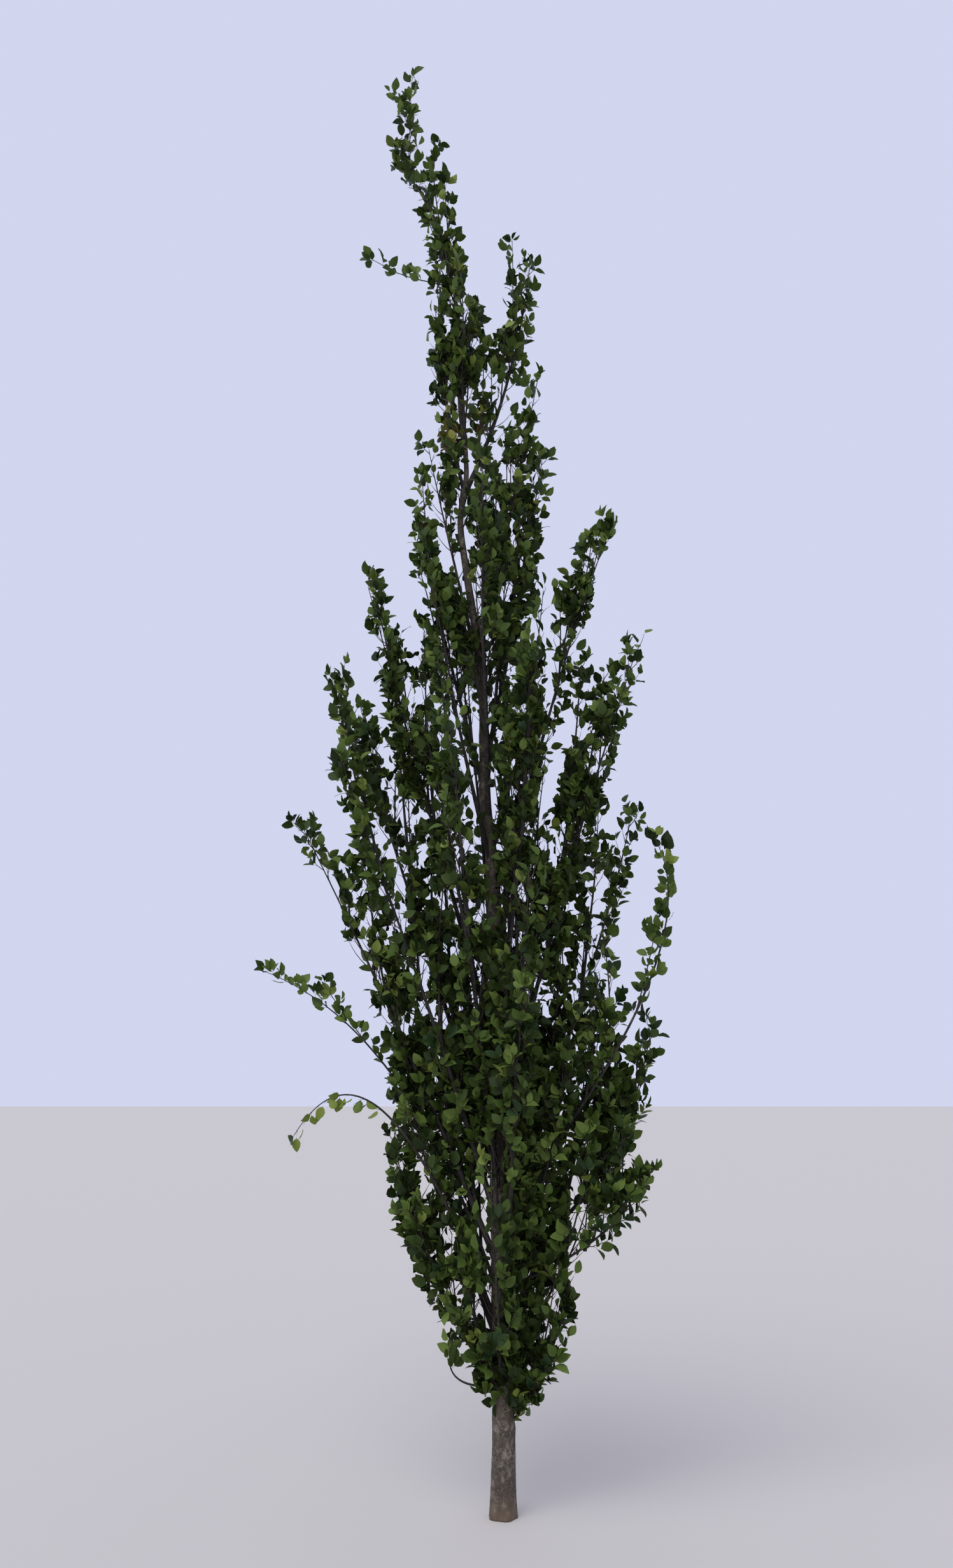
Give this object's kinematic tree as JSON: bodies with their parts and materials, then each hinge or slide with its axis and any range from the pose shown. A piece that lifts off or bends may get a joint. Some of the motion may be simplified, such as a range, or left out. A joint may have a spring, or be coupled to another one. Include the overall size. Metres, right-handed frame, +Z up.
{
  "type": "columnar beech tree",
  "caption": "Young columnar beech tree with a single trunk, steep upturned boughs and a narrow, pointed crown in summer leaf; it stands rooted in the ground.",
  "frame": {"origin": "centre of the trunk's flat cut at ground level", "axes": "+Z up along the trunk, +X to the right and +Y away from the viewer in the tree's front view"},
  "size_m": [1.8437, 1.2963, 6.5279],
  "materials": {
    "trunk_bark": "matte bark, grey-brown with pale lichen",
    "bough_bark": "matte bark, dark brown",
    "leaf": "satin green leaf"
  },
  "bodies": {
    "root": {"bough_back_low": "bough_bark", "bough_back_mid": "bough_bark", "bough_front_low": "bough_bark", "bough_front_mid": "bough_bark", "bough_left_arch": "bough_bark", "bough_left_broad": "bough_bark", "bough_left_high": "bough_bark", "bough_left_low": "bough_bark", "bough_left_mid": "bough_bark", "bough_left_stray": "bough_bark", "bough_right_broad": "bough_bark", "bough_right_high": "bough_bark", "bough_right_lift": "bough_bark", "bough_right_low": "bough_bark", "bough_right_mid": "bough_bark", "bough_right_stray": "bough_bark", "foliage_back_high": "leaf", "foliage_back_low": "leaf", "foliage_back_mid": "leaf", "foliage_front_high": "leaf", "foliage_front_low": "leaf", "foliage_front_mid": "leaf", "foliage_inner_back": "leaf", "foliage_inner_front": "leaf", "foliage_leader": "leaf", "foliage_left_arch": "leaf", "foliage_left_body": "leaf", "foliage_left_broad": "leaf", "foliage_left_high": "leaf", "foliage_left_low": "leaf", "foliage_left_mid": "leaf", "foliage_left_stray": "leaf", "foliage_right_broad": "leaf", "foliage_right_high": "leaf", "foliage_right_lift": "leaf", "foliage_right_low": "leaf", "foliage_right_mid": "leaf", "foliage_right_stray": "leaf", "foliage_side_shoot": "leaf", "foliage_skirt_back": "leaf", "foliage_skirt_corner": "leaf", "foliage_skirt_front": "leaf", "foliage_skirt_left": "leaf", "foliage_skirt_right_1": "leaf", "foliage_skirt_right_2": "leaf", "foliage_tip_back": "leaf", "foliage_tip_front": "leaf", "foliage_tip_right": "leaf", "foliage_top_back": "leaf", "foliage_top_front": "leaf", "foliage_top_left": "leaf", "foliage_upper_back": "leaf", "foliage_upper_front": "leaf", "foliage_upper_left_1": "leaf", "foliage_upper_left_2": "leaf", "foliage_upper_left_3": "leaf", "foliage_upper_right_1": "leaf", "foliage_upper_right_2": "leaf", "foliage_upper_right_3": "leaf", "trunk": "trunk_bark"}
  },
  "joints": []
}
